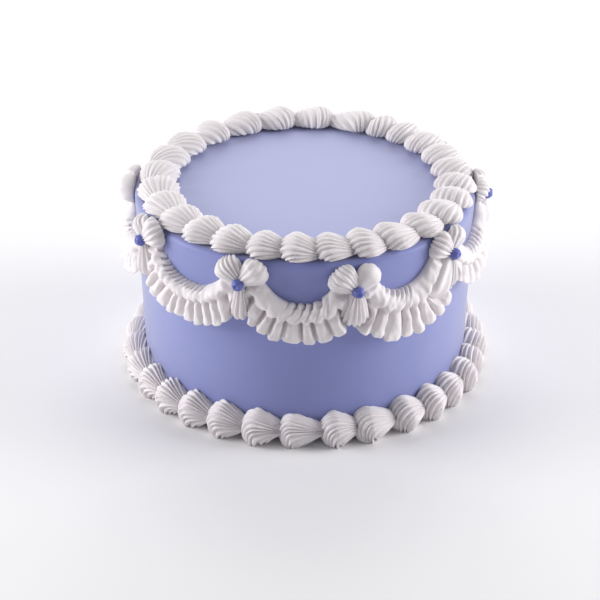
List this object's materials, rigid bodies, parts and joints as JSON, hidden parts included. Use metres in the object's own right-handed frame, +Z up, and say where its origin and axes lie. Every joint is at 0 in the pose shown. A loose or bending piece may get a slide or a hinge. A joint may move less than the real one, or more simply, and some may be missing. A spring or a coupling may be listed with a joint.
{
  "type": "lambeth cake",
  "caption": "Small round celebration cake with smooth icing, piped shell borders at top and foot, ruffled garlands and piped flowers with a bead of icing on each.",
  "frame": {"origin": "centre of the cake's flat underside, on the surface that it stands on", "axes": "+Z up along the cake's upright axis, -Y towards the front that the picture shows, +X to its right"},
  "size_m": [0.1789, 0.1787, 0.1013],
  "materials": {
    "lilac_icing": "smooth satin buttercream",
    "white_icing": "matte piped buttercream",
    "bead_icing": "matte piped buttercream, deeper blue"
  },
  "bodies": {
    "root": {"cake": "lilac_icing", "top_border": "white_icing", "foot_border": "white_icing", "flower_1": "white_icing", "flower_2": "white_icing", "flower_3": "white_icing", "flower_4": "white_icing", "flower_5": "white_icing", "flower_6": "white_icing", "flower_7": "white_icing", "flower_8": "white_icing", "flower_9": "white_icing", "flower_10": "white_icing", "garland_1": "white_icing", "garland_2": "white_icing", "garland_3": "white_icing", "garland_4": "white_icing", "garland_5": "white_icing", "garland_6": "white_icing", "garland_7": "white_icing", "garland_8": "white_icing", "garland_9": "white_icing", "garland_10": "white_icing"}
  },
  "joints": []
}
